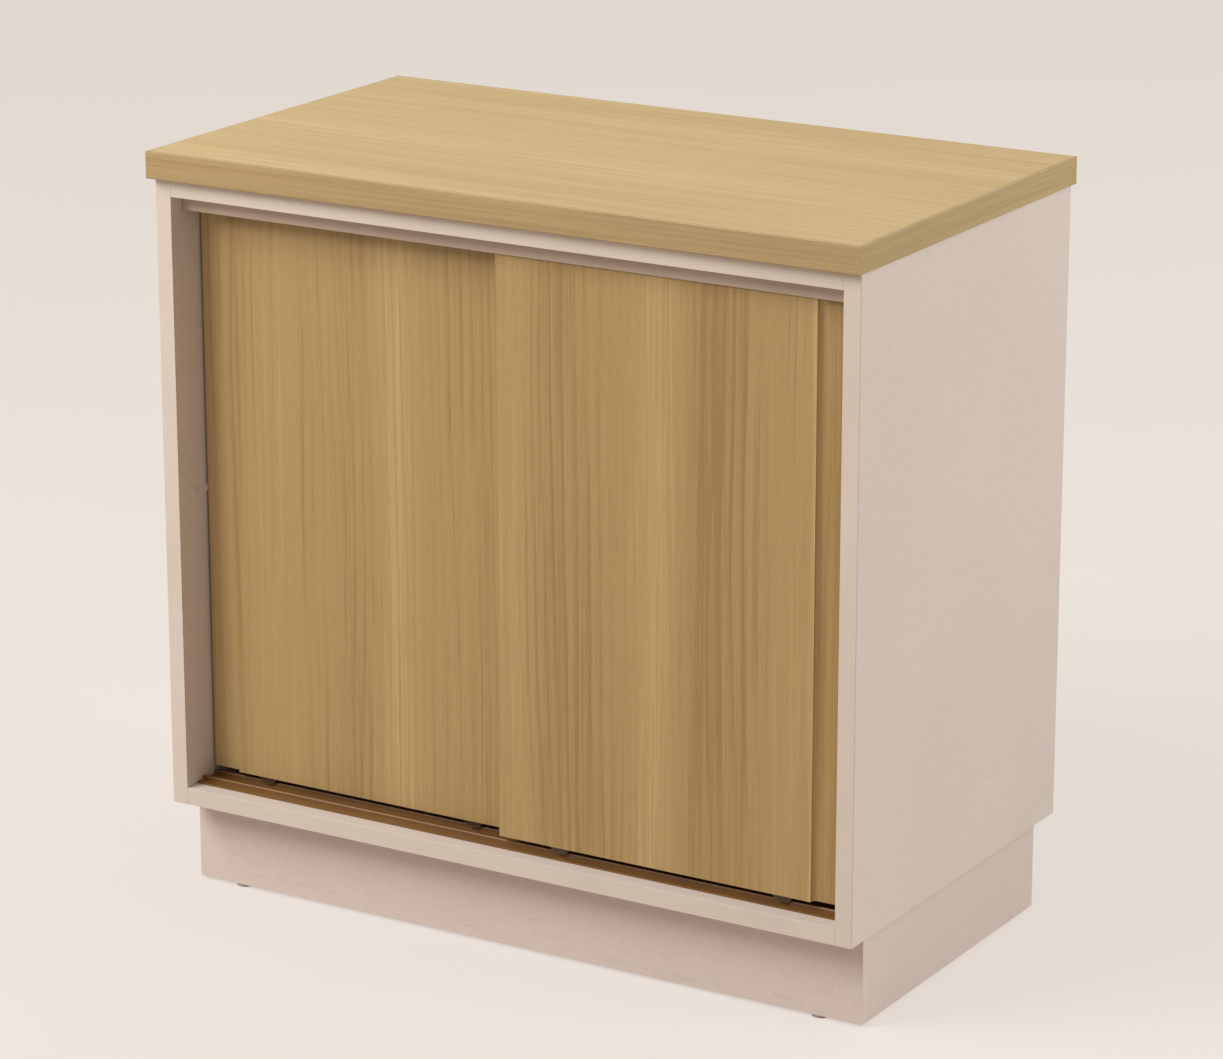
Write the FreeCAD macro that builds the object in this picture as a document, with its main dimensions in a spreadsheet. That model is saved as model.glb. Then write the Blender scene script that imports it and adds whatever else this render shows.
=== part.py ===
import FreeCAD, Part
import os
import re

import Sketcher
from FreeCAD import Placement, Rotation, Vector

# A low cabinet with two sliding doors, in millimetres. The origin is on the floor under the
# middle of the worktop: +X is to the right of a person facing the doors, the doors face -Y, +Z is up.

# Driving dimensions
SIZES = {
    # Overall size
    "overall_width": 800,
    "overall_depth": 450,
    "overall_height": 780,
    # Worktop
    "worktop_thickness": 28,
    "worktop_band": 2,
    "worktop_arris": 1.5,
    "side_overhang": 4,
    "front_overhang": 10,
    "back_overhang": 4,
    # Carcass boards, their front edge band and the back let into grooves
    "board": 18,
    "carcass_band": 1,
    "back_thickness": 5,
    "back_inset": 12,
    "groove_depth": 6,
    "groove_fit": 0.2,
    # Plinth
    "plinth_height": 95,
    "plinth_board": 18,
    "plinth_side_inset": 6,
    "plinth_front_inset": 36,
    "plinth_back_inset": 32,
    "block_side": 32,
    "block_height": 60,
    "block_bevel": 14,
    # Floor glides
    "glide_height": 3,
    "glide_radius": 8.5,
    "glide_end_inset": 50,
    # Doors
    "door_thickness": 16,
    "door_recess": 20,
    "door_overlap": 22,
    "door_bottom_gap": 12,
    "door_top_entry": 4,
    "door_band": 1,
    "pull_width": 34,
    "pull_depth": 6,
    "pull_cove": 5,
    # Tracks, each pressed by a tongue into a groove of its panel
    "lane_clearance": 1,
    "track_leg": 2,
    "track_tongue": 2.4,
    "track_tongue_height": 6,
    "top_track_height": 16,
    "top_track_web": 2,
    "lip_arris": 0.7,
    "bottom_track_web": 2,
    "rib_width": 3,
    "rib_height": 4,
    "rib_round": 1.4,
    # Rollers in the doors' bottom edges
    "roller_tread": 10,
    "flange_depth": 2.5,
    "roller_width": 8,
    "groove_clearance": 0.4,
    "groove_draft": 0.6,
    "roller_inset": 68,
    "rib_gap": 0.15,
    "axle_radius": 1.5,
    "axle_fit": 0.05,
    "housing_end": 10,
    "housing_cheek": 1.7,
    "housing_crown": 8,
    "housing_bevel": 4,
    "housing_fit": 0.1,
    "wheel_well_gap": 1.5,
    "wheel_side_gap": 0.3,
    # Guide shoes in the doors' top edges
    "guide_length": 30,
    "guide_head": 4,
    "guide_bevel": 4,
    "guide_gap": 0.3,
    "guide_plug_radius": 4,
    "guide_plug_length": 14,
    "guide_inset": 60,
    # Door buffers on the side panels
    "buffer_radius": 4,
    "buffer_thickness": 2,
    "buffer_edge": 1,
    "buffer_gap": 0.3,
    # Shelf, its pins and the rows of pin holes
    "shelf_thickness": 18,
    "shelf_setback": 50,
    "shelf_side_gap": 1,
    "shelf_back_gap": 2,
    "pin_radius": 2.5,
    "pin_fit": 0.05,
    "pin_depth": 9,
    "pin_reach": 11,
    "pin_paddle_width": 9,
    "pin_rise": 2.5,
    "pin_hole_depth": 10,
    "pin_pitch": 32,
    "pin_inset": 50,
    "pin_middle": 300,
    # Joints between the side panels and the panels between them
    "joint_front": 100,
    "joint_back": 105,
    "joint_fit": 0.1,
    "cam_radius": 7.5,
    "cam_height": 12.5,
    "cam_recess": 2,
    "cam_recess_width": 2.4,
    "cam_recess_length": 9,
    "cam_distance": 34,
    "cam_slot": 7.6,
    "cam_slot_past": 5,
    "bolt_radius": 3,
    "bolt_in_side": 11,
    "bolt_past_cam": 2,
    # Screws up through the carcass into the worktop
    "screw_radius": 2,
    "screw_length": 34,
    "screw_head": 4.2,
    "screw_rise": 2.4,
    "screw_inset": 90,
    "screw_fit": 0.05,
}

# Sizes and places that follow from the driving dimensions
DERIVED = {
    "half_width": "overall_width / 2",
    "half_depth": "overall_depth / 2",
    "worktop_under": "overall_height - worktop_thickness",
    "carcass_half": "half_width - side_overhang",
    "inner_half": "carcass_half - board",
    "inner_width": "2 * inner_half",
    "carcass_front": "front_overhang - half_depth",
    "carcass_back": "half_depth - back_overhang",
    "board_front": "carcass_front + carcass_band",
    "board_depth": "carcass_back - board_front",
    "carcass_height": "worktop_under - plinth_height",
    "floor_top": "plinth_height + board",
    "ceiling": "worktop_under - board",
    "back_front": "carcass_back - back_inset - back_thickness",
    "groove_start": "back_front - groove_fit - board_front",
    "groove_end": "groove_start + back_thickness + 2 * groove_fit",
    "tongue": "groove_depth - groove_fit",
    "door_pitch": "door_thickness + 2 * lane_clearance + track_leg",
    "front_face": "carcass_front + door_recess",
    "rear_face": "front_face + door_pitch",
    "front_lane": "front_face + door_thickness / 2",
    "rear_lane": "front_lane + door_pitch",
    "track_front": "front_face - lane_clearance - track_leg",
    "track_depth": "2 * door_pitch + track_leg",
    "track_groove_start": "track_front + track_depth / 2 - track_tongue / 2 - groove_fit - board_front",
    "track_groove_end": "track_groove_start + track_tongue + 2 * groove_fit",
    "track_groove_depth": "track_tongue_height + groove_fit",
    "rib_top": "floor_top + bottom_track_web + rib_height",
    "door_bottom": "floor_top + door_bottom_gap",
    "lip_bottom": "ceiling - top_track_height",
    "door_top": "lip_bottom + door_top_entry",
    "door_height": "door_top - door_bottom",
    "door_edge": "inner_half - buffer_thickness - buffer_gap",
    "door_width": "door_edge + door_overlap / 2",
    "panel_width": "door_width - 2 * door_band",
    "axle_level": "rib_top + rib_gap + roller_tread",
    "roller_flange": "roller_tread + flange_depth",
    "groove_root": "rib_width + 2 * groove_clearance",
    "groove_mouth": "groove_root + 2 * groove_draft",
    "well_length": "2 * (roller_flange + wheel_well_gap)",
    "well_width": "roller_width + 2 * wheel_side_gap",
    "well_height": "axle_level + roller_flange + wheel_well_gap - door_bottom",
    "housing_length": "well_length + 2 * housing_end",
    "housing_width": "well_width + 2 * housing_cheek",
    "housing_height": "well_height + housing_crown",
    "guide_width": "door_thickness + 2 * lane_clearance - 2 * guide_gap",
    "plinth_half": "carcass_half - plinth_side_inset",
    "plinth_front_face": "carcass_front + plinth_front_inset",
    "plinth_back_face": "carcass_back - plinth_back_inset",
    "plinth_board_height": "plinth_height - glide_height",
    "plinth_inner_half": "plinth_half - plinth_board",
    "plinth_inner_front": "plinth_front_face + plinth_board",
    "plinth_inner_back": "plinth_back_face - plinth_board",
    "block_bottom": "plinth_height - block_height",
    "shelf_front": "rear_face + door_thickness + shelf_setback",
    "shelf_depth": "back_front - shelf_back_gap - shelf_front",
    "shelf_half": "inner_half - shelf_side_gap",
    "pin_level": "floor_top + pin_middle",
    "shelf_level": "pin_level + pin_rise",
    "pin_front": "shelf_front + pin_inset",
    "pin_back": "back_front - pin_inset",
    "row_front": "carcass_front + joint_front",
    "row_back": "carcass_back - joint_back",
    "top_bolt_level": "ceiling + board / 2",
    "bottom_bolt_level": "plinth_height + board / 2",
    "cam_half": "inner_half - cam_distance",
    "bolt_length": "cam_distance + bolt_past_cam",
}

PIN_HOLES_EACH_WAY = 1
NEAR = 1e-3
VERTICAL = Vector(0, 0, 1)

# Turns that point a piece's own +Z axis one way
POINTING = {
    "up": Rotation(),
    "down": Rotation(Vector(1, 0, 0), 180),
    "right": Rotation(Vector(0, 1, 0), 90),
    "left": Rotation(Vector(0, 1, 0), -90),
    "back": Rotation(Vector(1, 0, 0), -90),
    "front": Rotation(Vector(1, 0, 0), 90),
}
HALF_TURN = Rotation(VERTICAL, 180)

doc = FreeCAD.newDocument("sliding_door_cabinet")
nodes = []


def fill_sheet(name, cells):
    """A sheet with a name in column A and its value, with that name as alias, in column B."""
    sheet = doc.addObject("Spreadsheet::Sheet", name)
    for row, (alias, content) in enumerate(cells.items(), start=1):
        sheet.set(f"A{row}", alias)
        sheet.set(f"B{row}", content)
        sheet.setAlias(f"B{row}", alias)
        doc.recompute()
    return sheet


def qualified(formula):
    """The formula with the sheet's name before each alias."""
    def with_sheet(match):
        word = match.group()
        return ("Sizes." if word in SIZES else "Derived.") + word
    return re.sub(r"[a-z_]+", with_sheet, formula)


def value(formula):
    return float(sizes.evalExpression(qualified(formula)))


def bind(obj, prop, formula):
    obj.setExpression(prop, qualified(formula))


def place(obj, x, y, z, turn=Rotation()):
    """Sets the turn, and ties the place to three formulas."""
    obj.Placement = Placement(Vector(), turn)
    for axis, formula in zip("xyz", (x, y, z)):
        bind(obj, f"Placement.Base.{axis}", formula)
    return obj


def keep(obj):
    """Counts a finished object as a node, under its label."""
    nodes.append(obj)
    return obj


# Sketched pieces

def origin_plane(body, role):
    return next(feature for feature in body.Origin.OriginFeatures if feature.Role == role)


def pin_point(sketch, line, formulas):
    """Ties a line's start to two formulas, measured from the sketch's origin."""
    for kind, axis, formula in zip(("DistanceX", "DistanceY"), (-2, -1), formulas):
        if formula == "0":
            sketch.addConstraint(Sketcher.Constraint("PointOnObject", line, 1, axis))
            continue
        number = sketch.addConstraint(Sketcher.Constraint(kind, -1, 1, line, 1, value(formula)))
        bind(sketch, f"Constraints[{number}]", formula)


def outline(body, name, role, corners):
    """A closed sketch of straight lines through corners, each a pair of formulas."""
    sketch = body.newObject("Sketcher::SketchObject", name)
    sketch.AttachmentSupport = (origin_plane(body, role), [""])
    sketch.MapMode = "FlatFace"
    points = [Vector(value(u), value(v), 0) for u, v in corners]
    count = len(points)
    for line in range(count):
        sketch.addGeometry(Part.LineSegment(points[line], points[(line + 1) % count]))
    for line in range(count):
        sketch.addConstraint(Sketcher.Constraint("Coincident", line, 2, (line + 1) % count, 1))
    for line, corner in enumerate(corners):
        pin_point(sketch, line, corner)
    return sketch


def extrusion(label, role, corners, length):
    """A body of one outline padded along +Z, +X or +Y, as its plane asks."""
    body = doc.addObject("PartDesign::Body", label)
    sketch = outline(body, label + "_outline", role, corners)
    pad = body.newObject("PartDesign::Pad", label + "_pad")
    pad.Profile = sketch
    bind(pad, "Length", length)
    pad.Reversed = role == "XZ_Plane"
    doc.recompute()
    return body


def turned(label, corners):
    """A body of one outline, of radius and height, turned round its own +Z axis."""
    body = doc.addObject("PartDesign::Body", label)
    sketch = outline(body, label + "_outline", "XZ_Plane", corners)
    turning = body.newObject("PartDesign::Revolution", label + "_turning")
    turning.Profile = sketch
    turning.ReferenceAxis = (sketch, ["V_Axis"])
    turning.Angle = 360
    doc.recompute()
    return body


def soften(body, radius, chosen):
    """Rounds those edges of the body that the test chooses."""
    base = body.Tip
    names = [f"Edge{n}" for n, edge in enumerate(base.Shape.Edges, start=1) if chosen(edge)]
    rounding = body.newObject("PartDesign::Fillet", body.Name + "_rounding")
    rounding.Base = (base, names)
    bind(rounding, "Radius", radius)
    doc.recompute()
    return body


def runs_along(edge, axis):
    """True for a straight edge along one of the axes x, y and z."""
    box = edge.BoundBox
    spans = {"x": box.XLength, "y": box.YLength, "z": box.ZLength}
    return all((spans[name] > NEAR) == (name == axis) for name in spans)


def rectangle(u, v):
    return (("0", "0"), (u, "0"), (u, v), ("0", v))


def board(label, x, y, z, length, depth, height):
    """A plain board, from its lowest corner."""
    return place(extrusion(label, "XY_Plane", rectangle(length, depth), height), x, y, z)


def bevelled(length, width, bevel):
    """A rectangle about the origin with its four corners cut off."""
    ends = f"0.5 * ({length})"
    sides = f"0.5 * ({width})"
    corners = []
    quarters = (("-", "-", False), ("", "-", True), ("", "", False), ("-", "", True))
    for x_sign, y_sign, along_first in quarters:
        on_end = (f"{x_sign}{ends}", f"{y_sign}({sides} - {bevel})")
        on_side = (f"{x_sign}({ends} - {bevel})", f"{y_sign}{sides}")
        corners += (on_side, on_end) if along_first else (on_end, on_side)
    return corners


# Cutting, joining and repeating

def cylinder(x, y, z, way, radius, length):
    tool = doc.addObject("Part::Cylinder", "bore")
    bind(tool, "Radius", radius)
    bind(tool, "Height", length)
    return place(tool, x, y, z, POINTING[way])


def box(x, y, z, length, width, height):
    tool = doc.addObject("Part::Box", "notch")
    bind(tool, "Length", length)
    bind(tool, "Width", width)
    bind(tool, "Height", height)
    return place(tool, x, y, z)


def cut(label, base, tools):
    """The base less a list of tools."""
    together = doc.addObject("Part::Compound", label + "_tools")
    together.Links = tools
    result = doc.addObject("Part::Cut", label)
    result.Base = base
    result.Tool = together
    return result


def joined(label, first, second):
    result = doc.addObject("Part::Fuse", label)
    result.Base = first
    result.Tool = second
    result.Refine = True
    return result


def group(label, master, places):
    """Copies of one piece, each a solid of its own, at places given as x, y, z and a turn."""
    copies = []
    for x, y, z, turn in places:
        copy = doc.addObject("App::Link", label + "_copy")
        copy.LinkedObject = master
        copy.LinkTransform = False
        copies.append(place(copy, x, y, z, turn))
    result = doc.addObject("Part::Compound", label)
    result.Links = copies
    return result


# Places shared by holes and what goes in them

SIDES = (("-1 * ", "left", "right"), ("", "right", "left"))
ROWS = ("row_front", "row_back")
LEVELS = ("bottom_bolt_level", "top_bolt_level")
SCREW_XS = ("screw_inset - inner_half", "inner_half - screw_inset")
LANES = ("front_lane", "rear_lane")


def bolt_places():
    """Where the bolts leave the side panels' inner faces, as x, y, z and the way outwards."""
    return [
        (f"{sign}inner_half", row, level, POINTING[outward])
        for sign, outward, _ in SIDES
        for level in LEVELS
        for row in ROWS
    ]


def pin_places():
    """The four shelf pins, as x, y, z and a turn."""
    return [
        (f"{sign}inner_half", y, "pin_level", turn)
        for sign, turn in (("-1 * ", Rotation()), ("", HALF_TURN))
        for y in ("pin_front", "pin_back")
    ]


def glide_places():
    return [
        (f"{sign}(plinth_half - glide_end_inset)", y, "0", Rotation())
        for sign in ("-1 * ", "")
        for y in ("plinth_front_face + plinth_board / 2", "plinth_back_face - plinth_board / 2")
    ]


# Worktop with its edge bands

def worktop():
    blank = board(
        "worktop_blank",
        "worktop_band - half_width", "worktop_band - half_depth", "worktop_under",
        "overall_width - 2 * worktop_band", "overall_depth - 2 * worktop_band", "worktop_thickness",
    )
    pilot_depth = "screw_length - board + screw_fit"
    pilots = [
        cylinder(x, row, "worktop_under", "up", "screw_radius + screw_fit", pilot_depth)
        for x in SCREW_XS for row in ROWS
    ]
    keep(cut("worktop", blank, pilots))
    long_band = ("overall_width", "worktop_band", "worktop_thickness")
    short_band = ("worktop_band", "overall_depth - 2 * worktop_band", "worktop_thickness")
    left, right = "-1 * half_width", "half_width - worktop_band"
    front, rear = "-1 * half_depth", "half_depth - worktop_band"
    behind_front = "worktop_band - half_depth"
    bands = {
        "worktop_front_band": (left, front, long_band, "x", "0"),
        "worktop_rear_band": (left, rear, long_band, "x", "worktop_band"),
        "worktop_left_band": (left, behind_front, short_band, "y", "0"),
        "worktop_right_band": (right, behind_front, short_band, "y", "worktop_band"),
    }
    for label, (x, y, extents, along, outer) in bands.items():
        band = board(label, x, y, "worktop_under", *extents)
        keep(soften(band, "worktop_arris", outer_arris(along, value(outer))))


def outer_arris(along, outer):
    """Chooses a band's long edges on its outer face, in the band's own frame."""
    def chosen(edge):
        middle = edge.BoundBox.Center
        return runs_along(edge, along) and abs((middle.y if along == "x" else middle.x) - outer) < NEAR
    return chosen


# Carcass

def side_panel(label, sign, mirrored):
    """An upright side, grooved for the back and drilled for shelf pins and bolts."""
    inner, outer = ("board", "0") if not mirrored else ("0", "board")
    groove_floor = "board - groove_depth" if not mirrored else "groove_depth"
    section = (
        (outer, "0"), (inner, "0"), (inner, "groove_start"), (groove_floor, "groove_start"),
        (groove_floor, "groove_end"), (inner, "groove_end"), (inner, "board_depth"), (outer, "board_depth"),
    )
    blank = extrusion(label + "_blank", "XY_Plane", section, "carcass_height")
    place(blank, "inner_half" if mirrored else "-1 * carcass_half", "board_front", "plinth_height")
    outward = "right" if mirrored else "left"
    face = f"{sign}inner_half"
    pin_bore = "pin_radius + pin_fit"
    bores = [
        cylinder(face, y, f"pin_level + {step} * pin_pitch", outward, pin_bore, "pin_hole_depth")
        for y in ("pin_front", "pin_back")
        for step in range(-PIN_HOLES_EACH_WAY, PIN_HOLES_EACH_WAY + 1)
    ]
    bores += [
        cylinder(face, row, level, outward, "bolt_radius + screw_fit", "bolt_in_side + joint_fit")
        for level in LEVELS
        for row in ROWS
    ]
    return keep(cut(label, blank, bores))


def cross_panel(label, bottom, level, grooves_below):
    """The top or bottom of the carcass, grooved for the back and a track, bored for cams and bolts."""
    near, far = ("0", "board") if grooves_below else ("board", "0")
    section = [("0", near)]
    grooves = (
        ("track_groove_start", "track_groove_end", "track_groove_depth"),
        ("groove_start", "groove_end", "groove_depth"),
    )
    for start, end, depth in grooves:
        floor = depth if grooves_below else f"board - {depth}"
        section += [(start, near), (start, floor), (end, floor), (end, near)]
    section += [("board_depth", near), ("board_depth", far), ("0", far)]
    blank = extrusion(label + "_blank", "YZ_Plane", section, "inner_width")
    place(blank, "-1 * inner_half", "board_front", bottom)
    bores = []
    for sign, _, inward in SIDES:
        for row in ROWS:
            bores.append(cylinder(f"{sign}cam_half", row, bottom, "up", "cam_radius + joint_fit",
                                  "cam_height + joint_fit"))
            bores.append(cylinder(f"{sign}inner_half", row, level, inward, "bolt_radius + joint_fit",
                                  "bolt_length + joint_fit"))
    return blank, bores


def carcass():
    side_panel("left_side_panel", "-1 * ", False)
    side_panel("right_side_panel", "", True)

    blank, bores = cross_panel("carcass_top_panel", "ceiling", "top_bolt_level", True)
    bores += [
        cylinder(x, row, "ceiling", "up", "screw_radius + screw_fit", "board")
        for x in SCREW_XS for row in ROWS
    ]
    keep(cut("carcass_top_panel", blank, bores))

    blank, bores = cross_panel("bottom_panel", "plinth_height", "bottom_bolt_level", False)
    keep(cut("bottom_panel", blank, bores))

    keep(board("back_panel", "-1 * (inner_half + tongue)", "back_front", "floor_top - tongue",
               "inner_width + 2 * tongue", "back_thickness", "ceiling - floor_top + 2 * tongue"))

    upright = ("board", "carcass_band", "carcass_height")
    level = ("inner_width", "carcass_band", "board")
    bands = {
        "left_side_band": ("-1 * carcass_half", "plinth_height", upright),
        "right_side_band": ("inner_half", "plinth_height", upright),
        "top_panel_band": ("-1 * inner_half", "ceiling", level),
        "bottom_panel_band": ("-1 * inner_half", "plinth_height", level),
    }
    for label, (x, z, extents) in bands.items():
        keep(board(label, x, "carcass_front", z, *extents))


def shelf():
    keep(board("shelf", "-1 * shelf_half", "shelf_front + carcass_band", "shelf_level",
               "2 * shelf_half", "shelf_depth - carcass_band", "shelf_thickness"))
    keep(board("shelf_band", "-1 * shelf_half", "shelf_front", "shelf_level",
               "2 * shelf_half", "carcass_band", "shelf_thickness"))
    # A pin for the left side: its shank points to -X, its flat paddle to +X
    shank = turned("pin_shank", rectangle("pin_radius", "pin_depth"))
    shank.Placement = Placement(Vector(), POINTING["left"])
    paddle = box("0", "-0.5 * pin_paddle_width", "-1 * pin_rise",
                 "pin_reach", "pin_paddle_width", "2 * pin_rise")
    keep(group("shelf_pins", joined("shelf_pin", shank, paddle), pin_places()))


def corner_fasteners():
    # Bolts screwed into the sides, which the cams draw in
    bolt = turned("cam_bolt", (
        ("0", "-1 * bolt_length"), ("bolt_radius", "-1 * bolt_length"),
        ("bolt_radius", "bolt_in_side"), ("0", "bolt_in_side"),
    ))
    keep(group("cam_bolts", bolt, bolt_places()))

    # A cam with its face down, a slot for the bolt that opens to +X and a slot for the driver
    disc = turned("cam_disc", rectangle("cam_radius", "cam_height"))
    slot = box("-1 * cam_slot_past", "-0.5 * cam_slot", "board / 2 - cam_slot / 2",
               "cam_slot_past + cam_radius", "cam_slot", "cam_height")
    recess = box("-0.5 * cam_recess_length", "-0.5 * cam_recess_width", "0",
                 "cam_recess_length", "cam_recess_width", "cam_recess")
    cam = cut("cam", disc, [slot, recess])
    keep(group("cam_locks", cam, [
        (f"{sign}cam_half", row, bottom, HALF_TURN if sign else Rotation())
        for sign, _, _ in SIDES for bottom in ("plinth_height", "ceiling") for row in ROWS
    ]))

    # Screws that point up, each with the seat of its head at its origin
    screw = turned("worktop_screw", (
        ("0", "-1 * screw_rise"), ("screw_head", "-1 * screw_rise"), ("screw_head", "0"),
        ("screw_radius", "0"), ("screw_radius", "screw_length"), ("0", "screw_length"),
    ))
    keep(group("worktop_screws", screw, [
        (x, row, "ceiling", POINTING["up"]) for x in SCREW_XS for row in ROWS
    ]))


# Plinth

def plinth():
    long_board = ("2 * plinth_half", "plinth_board", "plinth_board_height")
    short_board = ("plinth_board", "plinth_inner_back - plinth_inner_front", "plinth_board_height")
    boards = {
        "plinth_front": ("-1 * plinth_half", "plinth_front_face", long_board),
        "plinth_rear": ("-1 * plinth_half", "plinth_inner_back", long_board),
        "plinth_left": ("-1 * plinth_half", "plinth_inner_front", short_board),
        "plinth_right": ("plinth_inner_half", "plinth_inner_front", short_board),
    }
    for label, (x, y, extents) in boards.items():
        keep(board(label, x, y, "glide_height", *extents))

    # Glue blocks in the corners, under the bottom panel, with the free corner bevelled
    corner_block = extrusion("corner_block", "XY_Plane", (
        ("0", "0"), ("block_side", "0"), ("block_side", "block_side - block_bevel"),
        ("block_side - block_bevel", "block_side"), ("0", "block_side"),
    ), "block_height")
    corners = (("-1 * ", "front", 0), ("", "front", 90), ("", "back", 180), ("-1 * ", "back", 270))
    keep(group("plinth_corner_blocks", corner_block, [
        (f"{sign}plinth_inner_half", f"plinth_inner_{end}", "block_bottom", Rotation(VERTICAL, turn))
        for sign, end, turn in corners
    ]))

    glide = turned("glide", rectangle("glide_radius", "glide_height"))
    keep(group("floor_glides", glide, glide_places()))


# Tracks

def tracks():
    # Two deep lanes above, open downwards, between three legs
    lane = "(door_thickness + 2 * lane_clearance)"
    ceiling_in_track = "top_track_height - top_track_web"
    section = [("0", "0")]
    for number in range(len(LANES)):
        leg_end = f"{number} * door_pitch + track_leg"
        section += [
            (leg_end, "0"), (leg_end, ceiling_in_track),
            (f"{leg_end} + {lane}", ceiling_in_track), (f"{leg_end} + {lane}", "0"),
        ]
    tongue_front = "(track_depth - track_tongue) / 2"
    tongue_back = "(track_depth + track_tongue) / 2"
    tongue_top = "top_track_height + track_tongue_height"
    section += [
        ("track_depth", "0"), ("track_depth", "top_track_height"), (tongue_back, "top_track_height"),
        (tongue_back, tongue_top), (tongue_front, tongue_top), (tongue_front, "top_track_height"),
        ("0", "top_track_height"),
    ]
    track = extrusion("top_track", "YZ_Plane", section, "inner_width")
    soften(track, "lip_arris", lambda edge: runs_along(edge, "x") and edge.BoundBox.ZMax < NEAR)
    keep(place(track, "-1 * inner_half", "track_front", "lip_bottom"))

    # A flat strip below, with a round-topped rib under each door
    rib_foot = "bottom_track_web"
    rib_head = "bottom_track_web + rib_height"
    tongue_end = "-1 * track_tongue_height"
    section = [
        ("0", "0"), (tongue_front, "0"), (tongue_front, tongue_end), (tongue_back, tongue_end),
        (tongue_back, "0"), ("track_depth", "0"), ("track_depth", rib_foot),
    ]
    for y in ("rear_lane", "front_lane"):
        back_of_rib = f"{y} + rib_width / 2 - track_front"
        front_of_rib = f"{y} - rib_width / 2 - track_front"
        section += [
            (back_of_rib, rib_foot), (back_of_rib, rib_head),
            (front_of_rib, rib_head), (front_of_rib, rib_foot),
        ]
    section.append(("0", rib_foot))
    track = extrusion("bottom_track", "YZ_Plane", section, "inner_width")
    crown = value(rib_head)
    soften(track, "rib_round", lambda edge: runs_along(edge, "x") and abs(edge.BoundBox.ZMax - crown) < NEAR)
    keep(place(track, "-1 * inner_half", "track_front", "floor_top"))

    buffer = turned("door_buffer", (
        ("0", "0"), ("buffer_radius", "0"), ("buffer_radius", "buffer_thickness - buffer_edge"),
        ("buffer_radius - buffer_edge", "buffer_thickness"), ("0", "buffer_thickness"),
    ))
    keep(group("door_buffers", buffer, [
        (f"{sign}inner_half", lane, "door_bottom + door_height / 2", POINTING[inward])
        for sign, _, inward in SIDES for lane in LANES
    ]))


# Doors, each with rollers below and guide shoes above

def door(side, face, lane):
    """One door; its coved pull and outer band are at its outer edge."""
    on_left = side == "left"
    start = "-1 * door_edge" if on_left else "door_edge - door_width"
    end = "door_width - door_edge" if on_left else "door_edge"
    pull_floor, front, rear = "pull_depth", "0", "door_thickness"
    if on_left:
        section = (
            ("0", pull_floor), ("pull_width", pull_floor), ("pull_width", front),
            ("panel_width", front), ("panel_width", rear), ("0", rear),
        )
        cove_x = value("pull_width")
    else:
        section = (
            ("0", front), ("panel_width - pull_width", front), ("panel_width - pull_width", pull_floor),
            ("panel_width", pull_floor), ("panel_width", rear), ("0", rear),
        )
        cove_x = value("panel_width - pull_width")
    cove_y = value("pull_depth")

    def edge_at(x, y):
        return lambda edge: (runs_along(edge, "z") and abs(edge.BoundBox.XMin - x) < NEAR
                             and abs(edge.BoundBox.YMin - y) < NEAR)

    blank = extrusion(f"{side}_door_blank", "XY_Plane", section, "door_height")
    soften(blank, "pull_cove", edge_at(cove_x, cove_y))
    place(blank, f"{start} + door_band", face, "door_bottom")

    roller_xs = (f"{start} + roller_inset", f"{end} - roller_inset")
    guide_xs = (f"{start} + guide_inset", f"{end} - guide_inset")
    outer, inner = (0, 1) if on_left else (1, 0)

    mortises = []
    for x in roller_xs:
        mortise = extrusion("mortise", "XY_Plane", bevelled(
            "housing_length + 2 * housing_fit", "housing_width + 2 * housing_fit", "housing_bevel"),
            "housing_height + housing_fit")
        mortises.append(place(mortise, x, lane, "door_bottom"))
    for x in guide_xs:
        mortises.append(cylinder(x, lane, "door_top", "down", "guide_plug_radius + screw_fit",
                                 "guide_plug_length + screw_fit"))
    keep(cut(f"{side}_door_panel", blank, mortises))

    deep = ("door_band", "door_thickness", "door_height")
    shallow = ("door_band", "door_thickness - pull_depth", "door_height")
    outer_x = start if on_left else f"{end} - door_band"
    inner_x = f"{end} - door_band" if on_left else start
    keep(board(f"{side}_door_outer_band", outer_x, f"{face} + pull_depth", "door_bottom", *shallow))
    keep(board(f"{side}_door_inner_band", inner_x, face, "door_bottom", *deep))

    keep(group(f"{side}_door_roller_housings", roller_housing(side), [
        (x, lane, "door_bottom", Rotation()) for x in roller_xs
    ]))
    axle = turned(f"{side}_axle", rectangle("axle_radius", "housing_width"))
    keep(group(f"{side}_door_axles", axle, [
        (x, f"{lane} - housing_width / 2", "axle_level", POINTING["back"]) for x in roller_xs
    ]))
    keep(group(f"{side}_door_guides", guide_shoe(side), [
        (x, lane, "door_top", Rotation()) for x in guide_xs
    ]))
    for name, number in (("outer", outer), ("inner", inner)):
        wheel = roller(f"{side}_door_{name}_roller")
        keep(place(wheel, roller_xs[number], f"{lane} - roller_width / 2", "axle_level", POINTING["back"]))


def roller_housing(side):
    """A housing let into the door's bottom edge: open below for the roller and bored for its axle."""
    body = extrusion(f"{side}_housing_blank", "XY_Plane", bevelled(
        "housing_length", "housing_width", "housing_bevel"), "housing_height")
    well = box("-0.5 * well_length", "-0.5 * well_width", "0",
               "well_length", "well_width", "well_height")
    bore = cylinder("0", "-0.5 * housing_width", "axle_level - door_bottom", "back",
                    "axle_radius + joint_fit", "housing_width")
    return cut(f"{side}_housing", body, [well, bore])


def roller(label):
    """A turned roller whose groove and two flanges sit astride the rib."""
    bore = "axle_radius + axle_fit"
    middle = "roller_width / 2"
    return turned(label, (
        (bore, "0"), ("roller_flange", "0"), ("roller_flange", f"{middle} - groove_mouth / 2"),
        ("roller_tread", f"{middle} - groove_root / 2"), ("roller_tread", f"{middle} + groove_root / 2"),
        ("roller_flange", f"{middle} + groove_mouth / 2"), ("roller_flange", "roller_width"),
        (bore, "roller_width"),
    ))


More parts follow.
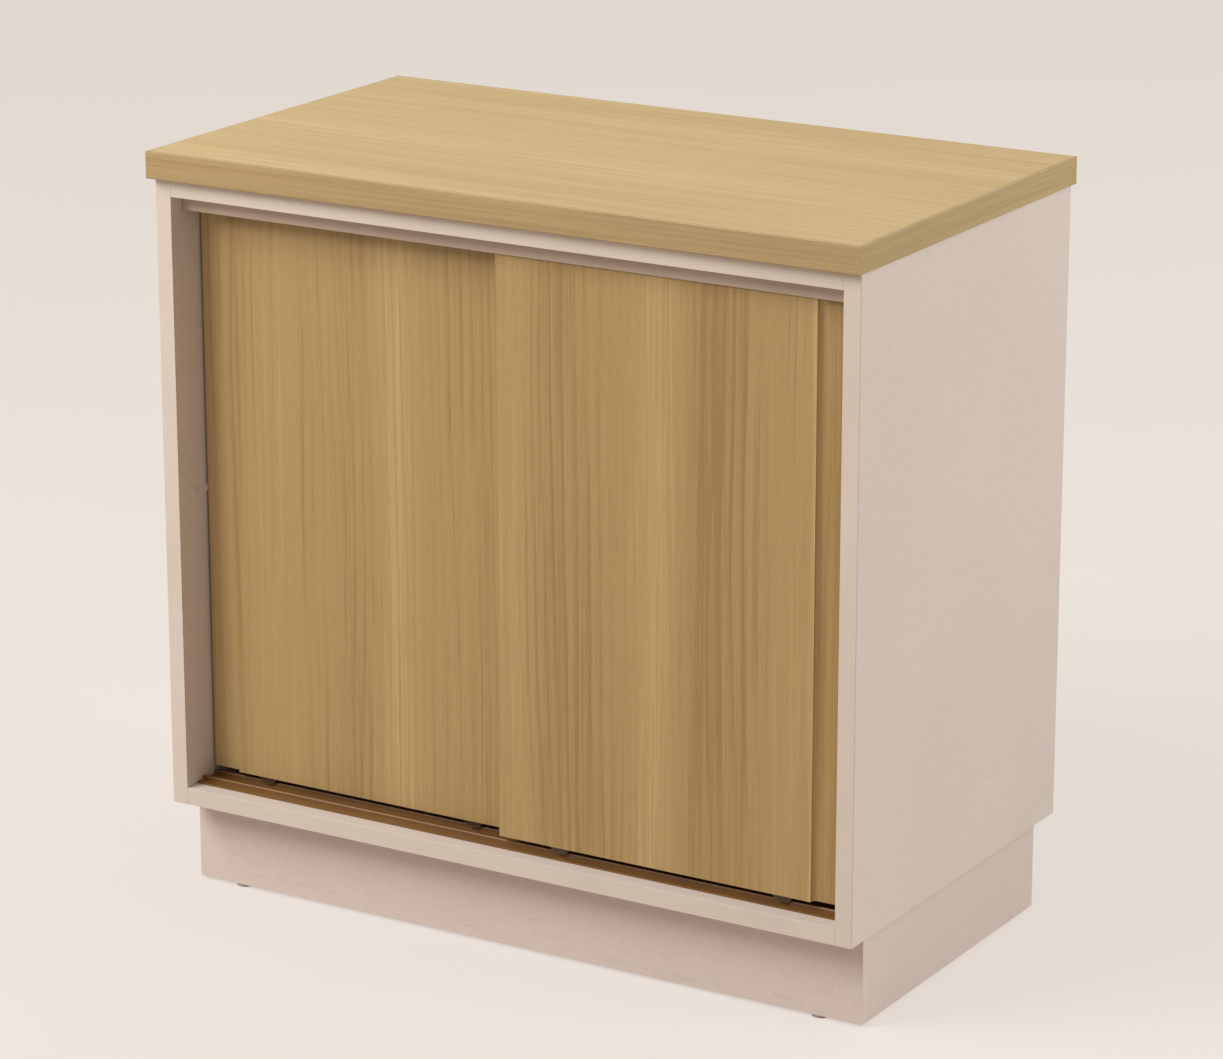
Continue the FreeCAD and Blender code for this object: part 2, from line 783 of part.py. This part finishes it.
def guide_shoe(side):
    """A shoe that runs in the upper lane, with a plug in the door's top edge."""
    head = extrusion(f"{side}_guide_head", "XY_Plane", bevelled(
        "guide_length", "guide_width", "guide_bevel"), "guide_head")
    plug = cylinder("0", "0", "-1 * guide_plug_length", "up",
                    "guide_plug_radius", "guide_plug_length")
    return joined(f"{side}_guide", head, plug)


def write_nodes():
    """Stops at a failed object or shape, then writes each node."""
    doc.recompute()
    for obj in doc.Objects:
        if "Invalid" in obj.State or "Error" in obj.State:
            raise RuntimeError(f"{obj.Label} did not build: {obj.State}")
    for obj in nodes:
        if obj.Shape.isNull() or not obj.Shape.isValid():
            raise RuntimeError(f"{obj.Label} has no valid shape")
    os.makedirs("parts", exist_ok=True)
    for obj in nodes:
        obj.Shape.exportStep(f"parts/{obj.Label}.step")
        print(obj.Label, len(obj.Shape.Solids), "solids", round(obj.Shape.Volume / 1000, 2), "cm3")


sizes = fill_sheet("Sizes", {name: str(size) for name, size in SIZES.items()})
derived = fill_sheet("Derived", {name: "=" + qualified(formula) for name, formula in DERIVED.items()})
worktop()
carcass()
shelf()
corner_fasteners()
plinth()
tracks()
door("left", "rear_face", "rear_lane")
door("right", "front_face", "front_lane")
write_nodes()
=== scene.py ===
import math

import bpy
from mathutils import Color, Matrix, Vector


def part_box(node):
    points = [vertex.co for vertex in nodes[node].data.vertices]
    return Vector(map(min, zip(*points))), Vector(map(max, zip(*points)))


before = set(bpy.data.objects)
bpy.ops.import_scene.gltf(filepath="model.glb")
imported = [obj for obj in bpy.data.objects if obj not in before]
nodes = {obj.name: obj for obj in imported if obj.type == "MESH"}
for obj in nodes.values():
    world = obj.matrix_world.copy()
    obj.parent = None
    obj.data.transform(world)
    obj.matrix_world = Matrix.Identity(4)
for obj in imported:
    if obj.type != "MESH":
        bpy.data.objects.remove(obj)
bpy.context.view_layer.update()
scene = bpy.context.scene

MILLIMETRE = 0.001


# Node tools

def tone(red, green, blue):
    """A colour written as it should look on screen, from 0 to 255, as linear light."""
    screen = Color((red / 255, green / 255, blue / 255))
    return (*screen.from_srgb_to_scene_linear(), 1.0)


class Look:
    """A material and short ways to add nodes to it."""

    # Places of the colour sockets on a Mix node
    MIX_FIRST, MIX_SECOND, MIX_RESULT = 6, 7, 2

    def __init__(self, name, sockets):
        """A new material whose shader has these sockets set to one value all over."""
        self.material = bpy.data.materials.new(name)
        self.material.use_nodes = True
        self.tree = self.material.node_tree
        self.shader = self.tree.nodes["Principled BSDF"]
        for socket, level in sockets.items():
            self.shader.inputs[socket].default_value = level
        self.place = self.add("TexCoord").outputs["Object"]

    def add(self, kind, inputs=None, **settings):
        """A new node, each of its inputs linked to a socket or set to a plain value."""
        node = self.tree.nodes.new("ShaderNode" + kind)
        for name, setting in settings.items():
            setattr(node, name, setting)
        for socket, given in (inputs or {}).items():
            if isinstance(given, bpy.types.NodeSocket):
                self.tree.links.new(given, node.inputs[socket])
            else:
                node.inputs[socket].default_value = given
        return node

    def axis(self, name):
        """The place along one axis of the frame, in metres."""
        return self.add("SeparateXYZ", {"Vector": self.place}).outputs[name]

    def noise(self, order, waves, detail, rough=0.5, distortion=0.0):
        """A noise with its own waves per metre along each axis of the order."""
        apart = self.add("SeparateXYZ", {"Vector": self.place})
        together = self.add("CombineXYZ", {n: apart.outputs[axis] for n, axis in enumerate(order)})
        stretched = self.add("Mapping", {"Vector": together.outputs[0], "Scale": waves})
        return self.add("TexNoise", {
            "Vector": stretched.outputs[0], "Scale": 1.0, "Detail": detail, "Roughness": rough,
            "Distortion": distortion,
        }).outputs["Fac"]

    def span(self, level, given, wanted=(0.0, 1.0)):
        """A level mapped from one range to another, and held at the ends."""
        return self.add("MapRange", {
            "Value": level, "From Min": given[0], "From Max": given[1],
            "To Min": wanted[0], "To Max": wanted[1],
        }).outputs["Result"]

    def maths(self, operation, first, second=0.0):
        return self.add("Math", {0: first, 1: second}, operation=operation).outputs[0]

    def total(self, *parts):
        """The sum of levels, each given with its weight."""
        result, *others = [self.maths("MULTIPLY", level, weight) for level, weight in parts]
        for part in others:
            result = self.maths("ADD", result, part)
        return result

    def mix(self, share, first, second):
        """The first colour, with a share of the second."""
        inputs = {"Factor": share, self.MIX_FIRST: first, self.MIX_SECOND: second}
        return self.add("Mix", inputs, data_type="RGBA").outputs[self.MIX_RESULT]

    def ramp(self, level, stops):
        """Colours that ease from stop to stop."""
        node = self.add("ValToRGB", {"Fac": level})
        node.color_ramp.interpolation = "EASE"
        points = node.color_ramp.elements
        while len(points) < len(stops):
            points.new(1.0)
        for point, (position, colour) in zip(points, stops):
            point.position = position
            point.color = colour
        return node.outputs["Color"]

    def between(self, level, dark, light):
        """A tone from dark to light as the level goes from 0 to 1."""
        return self.ramp(level, [(0.0, dark), (1.0, light)])

    def finish(self, colour, roughness, height, depth):
        """The material, with its colour, its roughness and a bump of some depth linked to the shader."""
        bump = self.add("Bump", {"Height": height, "Distance": depth, "Strength": 1.0})
        for socket, given in (("Base Color", colour), ("Roughness", roughness), ("Normal", bump.outputs[0])):
            self.tree.links.new(given, self.shader.inputs[socket])
        return self.material


# The range that holds most of a noise
MIDDLE = (0.3, 0.7)


# Wood

WOOD_SHADER = {"Specular IOR Level": 0.42}

# Patterns of the grain, with waves per metre twice across the grain and once along it
STREAKS = {"waves": (420, 420, 5), "detail": 6, "rough": 0.62, "distortion": 0.15}
RAYS = {"waves": (120, 120, 1.6), "detail": 4, "rough": 0.55, "distortion": 0.25}
PORES = {"waves": (1500, 1500, 45), "detail": 3, "rough": 0.6}
DRIFT = {"waves": (9, 9, 0.9), "detail": 3, "distortion": 0.6}
SWAY = {"waves": (7, 7, 0.7), "detail": 3, "rough": 0.45}
FADING = {"waves": (28, 28, 2.2), "detail": 3}
WAVER = {"waves": (9, 0, 1.4), "detail": 2}

# Ranges of the patterns, or of the tone that they add up to, over which the look changes
PORE_RANGE = (0.60, 0.74)
FADING_RANGE = (0.35, 0.7)
WAVER_RANGE = (0.2, 0.8)
LATE_GROWTH = (0.5, 1.0)
LAMINATE_RANGE = (0.40, 0.80)
VENEER_RANGE = (0.46, 1.02)

LAMINATE_GROWTH = 8 * MILLIMETRE
VENEER_GROWTH = 11 * MILLIMETRE
SWAY_REACH = 90 * MILLIMETRE
WAVER_REACH = 4 * MILLIMETRE
GRAIN_DEPTH = 0.06 * MILLIMETRE
LAMINATE_PORES = 0.35
VENEER_PORES = 0.30

# Broad bands of the doors' veneer, each with its place across the cabinet in millimetres and its lightness.
# At the doors' outer edges the stops are painted light and shade. On the left list, the stops at -376 and
# -348 paint light over the side panel's shadow on the finger pull, and the stop at -338 paints shade beside
# it. On the right list, the stop at 344 paints a highlight on the pull's shaded step, and the stops at 352
# and 376 paint shade towards the side panel.
LEFT_BANDS_AND_PAINTED_LIGHT = (
    (-376, 1.0), (-348, 1.0), (-338, 0.3), (-290, 0.68), (-240, 0.45), (-190, 0.3), (-135, 0.8), (-95, 0.45),
    (-30, 0.4), (11, 0.45),
)
RIGHT_BANDS_AND_PAINTED_LIGHT = (
    (-11, 0.5), (12, 0.65), (46, 0.3), (120, 0.35), (165, 0.75), (230, 0.15), (280, 0.4), (335, 0.55),
    (344, 1.0), (352, 0.2), (376, 0.05),
)
VENEER_STOPS = ((0.0, tone(151, 120, 71)), (0.5, tone(171, 141, 90)), (1.0, tone(191, 161, 110)))
DOOR_PORE = tone(118, 88, 50)


def grain(look, order):
    """Streaks, rays, pores and slow drifts of tone in wood that runs along the third axis of the order."""
    pores = look.span(look.noise(order, **PORES), PORE_RANGE)
    return look.noise(order, **STREAKS), look.noise(order, **RAYS), pores, look.noise(order, **DRIFT)


def growth_lines(look, order, pitch):
    """Dark lines across the first axis of the order, which wander and fade along the third."""
    sway = look.maths("MULTIPLY", look.noise(order, **SWAY), SWAY_REACH)
    years = look.maths("DIVIDE", look.maths("ADD", look.axis(order[0]), sway), pitch)
    lines = look.span(look.maths("FRACT", years), LATE_GROWTH)
    strength = look.span(look.noise(order, **FADING), FADING_RANGE)
    return look.maths("MULTIPLY", lines, strength)


def finish_wood(look, colour, streaks, pores, pore, pore_share, roughness):
    """Wood of this colour, with pores in it, with streaks in its sheen, and with streaks and pores in its
    bump.
    """
    colour = look.mix(look.maths("MULTIPLY", pores, pore_share), colour, pore)
    height = look.maths("SUBTRACT", streaks, pores)
    return look.finish(colour, look.span(streaks, MIDDLE, roughness), height, GRAIN_DEPTH)


def laminate(name, order, light, dark, pore, roughness=(0.52, 0.41)):
    """Wood-grain laminate with streaks from dark to light."""
    look = Look(name, WOOD_SHADER)
    streaks, rays, pores, drift = grain(look, order)
    lines = growth_lines(look, order, LAMINATE_GROWTH)
    level = look.total((streaks, 0.45), (rays, 0.35), (drift, 0.45), (lines, -0.22))
    colour = look.between(look.span(level, LAMINATE_RANGE), dark, light)
    return finish_wood(look, colour, streaks, pores, pore, LAMINATE_PORES, roughness)


def door_veneer(name, bands, roughness=(0.52, 0.42)):
    """Upright veneer whose broad bands follow a list, with finer grain over them; at the finger pulls the
    list paints light and shade into the colour.
    """
    look = Look(name, WOOD_SHADER)
    streaks, rays, pores, drift = grain(look, "XYZ")
    lines = growth_lines(look, "XYZ", VENEER_GROWTH)
    waver = look.span(look.noise("XYZ", **WAVER), WAVER_RANGE, (-WAVER_REACH, WAVER_REACH))
    across = look.maths("ADD", look.axis("X"), waver)
    start, end = bands[0][0], bands[-1][0]
    stops = [((place - start) / (end - start), (level, level, level, 1.0)) for place, level in bands]
    band = look.ramp(look.span(across, (start * MILLIMETRE, end * MILLIMETRE)), stops)
    level = look.total((band, 0.50), (streaks, 0.46), (rays, 0.32), (drift, 0.20), (lines, -0.20))
    colour = look.ramp(look.span(level, VENEER_RANGE), VENEER_STOPS)
    return finish_wood(look, colour, streaks, pores, DOOR_PORE, VENEER_PORES, roughness)


# Melamine and chipboard

MELAMINE_SHADER = {"Specular IOR Level": 0.4}
HAZE = {"waves": (5, 5, 5), "detail": 2, "rough": 0.4}
SPECKS = {"waves": (320, 320, 320), "detail": 3, "rough": 0.6}
PEARL = {"waves": (1400, 1400, 1400), "detail": 2}
PEARL_DEPTH = 0.05 * MILLIMETRE

CHIP_SCALE = 620.0
CHIP_STOPS = ((0.0, tone(162, 130, 88)), (0.3, tone(186, 155, 110)), (1.0, tone(206, 178, 134)))

SCUFFS = {"waves": (26, 26, 160), "detail": 5, "rough": 0.7}
SCUFF_RANGE = (0.56, 0.72)
SCUFF_TOP = 70 * MILLIMETRE
SCUFF_SHARE = 0.35


def speckle(look, light, dark):
    """The tone of melamine, its small speckles over a hint of haze, and its fine pearl."""
    specks = look.noise("XYZ", **SPECKS)
    level = look.total((look.noise("XYZ", **HAZE), 0.3), (specks, 0.7))
    colour = look.between(look.span(level, MIDDLE), dark, light)
    return colour, specks, look.noise("XYZ", **PEARL)


def chipboard(look):
    """Raw chipboard: flakes of mixed tone."""
    flakes = look.add("TexVoronoi", {"Vector": look.place, "Scale": CHIP_SCALE}).outputs["Color"]
    tones = look.add("SeparateColor", {"Color": flakes}).outputs["Red"]
    return look.ramp(tones, CHIP_STOPS)


def melamine(name, light, dark, roughness, raw_from=None):
    """Plain melamine, with raw chipboard on what lies further back than raw_from."""
    look = Look(name, MELAMINE_SHADER)
    colour, specks, pearl = speckle(look, light, dark)
    if raw_from is not None:
        colour = look.mix(look.maths("GREATER_THAN", look.axis("Y"), raw_from), colour, chipboard(look))
    return look.finish(colour, look.span(specks, MIDDLE, roughness), pearl, PEARL_DEPTH)


def scuffed(name, light, dark, scuff, roughness):
    """Plinth melamine with faint scuffs that thicken towards the floor."""
    look = Look(name, MELAMINE_SHADER)
    colour, _, pearl = speckle(look, light, dark)
    marks = look.span(look.noise("XYZ", **SCUFFS), SCUFF_RANGE)
    low = look.span(look.axis("Z"), (0.0, SCUFF_TOP), (1.0, 0.0))
    share = look.maths("MULTIPLY", look.maths("MULTIPLY", marks, low), SCUFF_SHARE)
    colour = look.mix(share, colour, scuff)
    return look.finish(colour, look.span(marks, (0.0, 1.0), roughness), pearl, PEARL_DEPTH)


# Plastic and metal

PLASTIC_SHADER = {"Specular IOR Level": 0.45}
DRAW_LINES = {"waves": (900, 900, 3), "detail": 4, "rough": 0.6}
DRAW_CLOUD = {"waves": (11, 11, 11), "detail": 3}
DRAW_RANGE = (0.35, 0.65)
DRAW_DEPTH = 0.03 * MILLIMETRE

SKIN = {"waves": (2200, 2200, 2200), "detail": 2}
MOULD_CLOUD = {"waves": (60, 60, 60), "detail": 3}
SKIN_DEPTH = 0.04 * MILLIMETRE

METAL_SHADER = {"Metallic": 1.0}
PLATING_CLOUD = {"waves": (250, 250, 250), "detail": 4}
PLATING_DEPTH = 0.03 * MILLIMETRE
BLOOM_SCALE = 900.0
BLOOM_RANGE = (0.0, 0.8)


def extruded(name, light, dark, roughness, order="YZX"):
    """Extruded plastic: faint draw lines along the third axis of the order."""
    look = Look(name, PLASTIC_SHADER)
    lines = look.noise(order, **DRAW_LINES)
    level = look.total((lines, 0.5), (look.noise("XYZ", **DRAW_CLOUD), 0.5))
    colour = look.between(look.span(level, DRAW_RANGE), dark, light)
    return look.finish(colour, look.span(lines, MIDDLE, roughness), lines, DRAW_DEPTH)


def moulded(name, light, dark, roughness):
    """Moulded plastic or rubber with a fine spark-eroded skin."""
    look = Look(name, PLASTIC_SHADER)
    cloud = look.noise("XYZ", **MOULD_CLOUD)
    colour = look.between(look.span(cloud, MIDDLE), dark, light)
    return look.finish(colour, look.span(cloud, MIDDLE, roughness), look.noise("XYZ", **SKIN), SKIN_DEPTH)


def plated(name, light, dark, roughness):
    """Bright zinc plating or die-cast zinc with a faint crystalline bloom."""
    look = Look(name, METAL_SHADER)
    bloom = look.add("TexVoronoi", {"Vector": look.place, "Scale": BLOOM_SCALE}).outputs["Distance"]
    cloud = look.noise("XYZ", **PLATING_CLOUD)
    colour = look.between(look.span(cloud, MIDDLE), dark, light)
    return look.finish(colour, look.span(bloom, BLOOM_RANGE, roughness), cloud, PLATING_DEPTH)


# The materials, each with its tones and with the ends of its roughness

EDGE_PORE = tone(138, 110, 70)
EDGING = {"light": tone(214, 199, 185), "dark": tone(208, 193, 179), "roughness": (0.51, 0.39)}
RAW_DEPTH = 0.3 * MILLIMETRE
REAR_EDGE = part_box("left_side_panel")[1][1] - RAW_DEPTH

worktop_laminate = laminate(
    "worktop_laminate", "YZX", light=tone(203, 178, 129), dark=tone(186, 158, 107), pore=tone(157, 127, 81),
    roughness=(0.64, 0.53),
)
long_edge = laminate(
    "worktop_long_edging", "ZYX", light=tone(181, 155, 109), dark=tone(161, 135, 90), pore=EDGE_PORE,
)
short_edge = laminate(
    "worktop_short_edging", "ZXY", light=tone(182, 160, 110), dark=tone(163, 140, 91), pore=EDGE_PORE,
)
door_edge = laminate(
    "door_edging", "XYZ", light=tone(176, 143, 92), dark=tone(150, 118, 71), pore=DOOR_PORE,
)
# The band lists of both doors also hold painted light and shade at the finger pulls.
left_veneer = door_veneer("left_door_veneer", LEFT_BANDS_AND_PAINTED_LIGHT)
right_veneer = door_veneer("right_door_veneer", RIGHT_BANDS_AND_PAINTED_LIGHT)
carcass_white = melamine(
    "carcass_melamine", light=tone(217, 205, 195), dark=tone(210, 197, 187), roughness=(0.54, 0.46),
    raw_from=REAR_EDGE,
)
carcass_edge = extruded("carcass_edging", **EDGING)
upright_edge = extruded("upright_edging", **EDGING, order="XYZ")
back_white = melamine(
    "back_board", light=tone(208, 199, 193), dark=tone(200, 191, 185), roughness=(0.64, 0.56),
)
plinth_grey = scuffed(
    "plinth_melamine", light=tone(217, 201, 191), dark=tone(210, 194, 184), scuff=tone(166, 150, 141),
    roughness=(0.5, 0.62),
)
timber = laminate(
    "block_timber", "XYZ", light=tone(206, 172, 120), dark=tone(182, 146, 96), pore=tone(140, 104, 62),
    roughness=(0.76, 0.65),
)
pale_track = extruded(
    "pale_plastic", light=tone(190, 170, 150), dark=tone(180, 160, 140), roughness=(0.48, 0.36),
)
brown_track = extruded(
    "brown_plastic", light=tone(124, 86, 42), dark=tone(110, 75, 36), roughness=(0.44, 0.32),
)
nylon = moulded("nylon", light=tone(84, 62, 41), dark=tone(72, 53, 34), roughness=(0.47, 0.37))
rubber = moulded(
    "buffer_rubber", light=tone(206, 194, 184), dark=tone(196, 184, 174), roughness=(0.75, 0.65),
)
glide = moulded(
    "glide_plastic", light=tone(172, 160, 152), dark=tone(160, 148, 140), roughness=(0.60, 0.50),
)
steel = plated(
    "bright_steel", light=tone(214, 212, 207), dark=tone(196, 194, 190), roughness=(0.26, 0.42),
)
zinc = plated("zinc", light=tone(196, 195, 195), dark=tone(178, 177, 178), roughness=(0.36, 0.52))


# The pieces of each material

SIDES = ("left", "right")
DOOR_BANDS = tuple(f"{side}_door_{end}_band" for side in SIDES for end in ("outer", "inner"))
CARCASS_BANDS = ("top_panel_band", "bottom_panel_band", "shelf_band")
UPRIGHT_BANDS = ("left_side_band", "right_side_band")
PLINTH_BOARDS = ("plinth_front", "plinth_rear", "plinth_left", "plinth_right")
LOOKS = {
    worktop_laminate: ("worktop",),
    long_edge: ("worktop_front_band", "worktop_rear_band"),
    short_edge: ("worktop_left_band", "worktop_right_band"),
    carcass_white: ("left_side_panel", "right_side_panel", "carcass_top_panel", "bottom_panel", "shelf"),
    carcass_edge: CARCASS_BANDS,
    upright_edge: UPRIGHT_BANDS,
    back_white: ("back_panel",),
    plinth_grey: PLINTH_BOARDS,
    timber: ("plinth_corner_blocks",),
    pale_track: ("top_track",),
    brown_track: ("bottom_track",),
    rubber: ("door_buffers",),
    glide: ("floor_glides",),
    zinc: ("cam_locks",),
    steel: ("shelf_pins", "cam_bolts", "worktop_screws", "left_door_axles", "right_door_axles"),
    left_veneer: ("left_door_panel",),
    right_veneer: ("right_door_panel",),
    door_edge: DOOR_BANDS,
    nylon: tuple(f"{side}_door_{piece}" for side in SIDES
                 for piece in ("roller_housings", "guides", "outer_roller", "inner_roller")),
}
for material, names in LOOKS.items():
    for name in names:
        mesh = nodes[name].data
        mesh.materials.clear()
        mesh.materials.append(material)


# Softened edges on boards with no holes

SOFT_EDGES = {
    0.6 * MILLIMETRE: (*PLINTH_BOARDS, "shelf"),
    0.4 * MILLIMETRE: (*UPRIGHT_BANDS, *CARCASS_BANDS, *DOOR_BANDS),
}
WELD_GAP = 0.01 * MILLIMETRE
BEVEL_SEGMENTS = 2
SHARP_ANGLE = math.radians(40)

for width, names in SOFT_EDGES.items():
    for name in names:
        weld = nodes[name].modifiers.new("weld", "WELD")
        weld.merge_threshold = WELD_GAP
        bevel = nodes[name].modifiers.new("soft_edges", "BEVEL")
        bevel.width = width
        bevel.segments = BEVEL_SEGMENTS
        bevel.limit_method = "ANGLE"
        bevel.angle_limit = SHARP_ANGLE
        bevel.harden_normals = True


# Camera at the photograph's angle

AZIMUTH, ELEVATION, ROLL = math.radians(31.10), math.radians(16.72), math.radians(-0.04)
TARGET_RIGHT, TARGET_DOWN, DISTANCE = 0.00147, -0.37685, 4.76256
IMAGE_WIDTH, FOCAL_PIXELS, SENSOR = 1223, 4609.8, 36.0
CLIP_END = 100.0


def new_object(name, data):
    """A new object in the scene."""
    holder = bpy.data.objects.new(name, data)
    scene.collection.objects.link(holder)
    return holder


def add_camera():
    """The camera of the main view, placed by its directions forward, right and down."""
    level = math.cos(ELEVATION)
    forward = Vector((-math.sin(AZIMUTH) * level, math.cos(AZIMUTH) * level, -math.sin(ELEVATION)))
    right = Vector((math.cos(AZIMUTH), math.sin(AZIMUTH), 0.0))
    down = forward.cross(right)
    place = Matrix.Translation(TARGET_RIGHT * right + TARGET_DOWN * down - DISTANCE * forward)
    turn = Matrix((right, -down, -forward)).transposed().to_4x4()
    camera = new_object("camera", bpy.data.cameras.new("camera"))
    camera.data.sensor_fit = "HORIZONTAL"
    camera.data.sensor_width = SENSOR
    camera.data.lens = FOCAL_PIXELS / IMAGE_WIDTH * SENSOR
    camera.data.clip_end = CLIP_END
    camera.matrix_world = place @ turn @ Matrix.Rotation(ROLL, 4, "Z")
    scene.camera = camera


# Floor, light and background

FLOOR_SHADER = {"Roughness": 0.85, "Specular IOR Level": 0.2}
FLOOR_CLOUD = {"waves": (1.5, 1.5, 1.5), "detail": 3}
FLOOR_LIGHT, FLOOR_DARK = tone(235, 227, 220), tone(231, 222, 214)
FLOOR_BOUNCE = tone(190, 177, 167)
FLOOR_GLOW, GLOW_SHARE = tone(236, 227, 219), 0.75
FLOOR_REACH = 30.0

ROUND_LIGHT, ROUND_STRENGTH = tone(240, 236, 232), 0.50
BACKDROP = tone(221, 212, 204)


def direct_rays(tree):
    """A socket that is 1 for what the camera sees, in gloss and glass too, and 0 for light on the object."""
    rays = tree.nodes.new("ShaderNodeLightPath").outputs
    direct = rays["Is Camera Ray"]
    for name in ("Is Glossy Ray", "Is Transmission Ray"):
        either = tree.nodes.new("ShaderNodeMath")
        either.operation = "MAXIMUM"
        tree.links.new(direct, either.inputs[0])
        tree.links.new(rays[name], either.inputs[1])
        direct = either.outputs[0]
    return direct


def floor():
    """A floor that glows to the camera, so that it is pale all over, and throws less light on the object."""
    look = Look("floor", FLOOR_SHADER)
    cloud = look.span(look.noise("XYZ", **FLOOR_CLOUD), MIDDLE)
    direct = direct_rays(look.tree)
    colour = look.mix(direct, FLOOR_BOUNCE, look.between(cloud, FLOOR_DARK, FLOOR_LIGHT))
    look.tree.links.new(colour, look.shader.inputs["Base Color"])
    share = look.maths("MULTIPLY", direct, GLOW_SHARE)
    glow = look.add("Emission", {"Color": FLOOR_GLOW, "Strength": 1.0}).outputs[0]
    both = look.add("MixShader", {0: share, 1: look.shader.outputs[0], 2: glow}).outputs[0]
    look.tree.links.new(both, look.tree.nodes["Material Output"].inputs["Surface"])
    corners = [(x * FLOOR_REACH, y * FLOOR_REACH, 0) for x, y in ((-1, -1), (1, -1), (1, 1), (-1, 1))]
    mesh = bpy.data.meshes.new("floor")
    mesh.from_pydata(corners, [], [(0, 1, 2, 3)])
    mesh.materials.append(look.material)
    plane = new_object("floor", mesh)


def studio():
    """Even light from all round, behind which the camera sees the tone of the far floor."""
    world = bpy.data.worlds.new("studio")
    world.use_nodes = True
    tree = world.node_tree
    light = tree.nodes["Background"]
    light.inputs["Color"].default_value = ROUND_LIGHT
    light.inputs["Strength"].default_value = ROUND_STRENGTH
    backdrop = tree.nodes.new("ShaderNodeBackground")
    backdrop.inputs["Color"].default_value = BACKDROP
    mix = tree.nodes.new("ShaderNodeMixShader")
    tree.links.new(direct_rays(tree), mix.inputs[0])
    tree.links.new(light.outputs[0], mix.inputs[1])
    tree.links.new(backdrop.outputs[0], mix.inputs[2])
    tree.links.new(mix.outputs[0], tree.nodes["World Output"].inputs["Surface"])
    scene.world = world


def lamp(name, place, aim, size, power):
    """A round lamp of this size in metres and power in watts, turned towards its aim."""
    data = bpy.data.lights.new(name, "AREA")
    data.shape = "DISK"
    data.size = size
    data.energy = power
    holder = new_object(name, data)
    holder.location = place
    holder.rotation_euler = (Vector(aim) - Vector(place)).to_track_quat("-Z", "Y").to_euler()


add_camera()
floor()
studio()
lamp("key", place=(-2.05, -2.7, 3.2), aim=(0, 0, 0.4), size=2.6, power=165)
lamp("side", place=(4.6, 1.0, 2.0), aim=(0.4, 0, 1.4), size=2.4, power=79)
lamp("back", place=(2.2, 3.3, 2.2), aim=(0, 0.2, 0.4), size=2.4, power=45)
scene.view_settings.view_transform = "Standard"
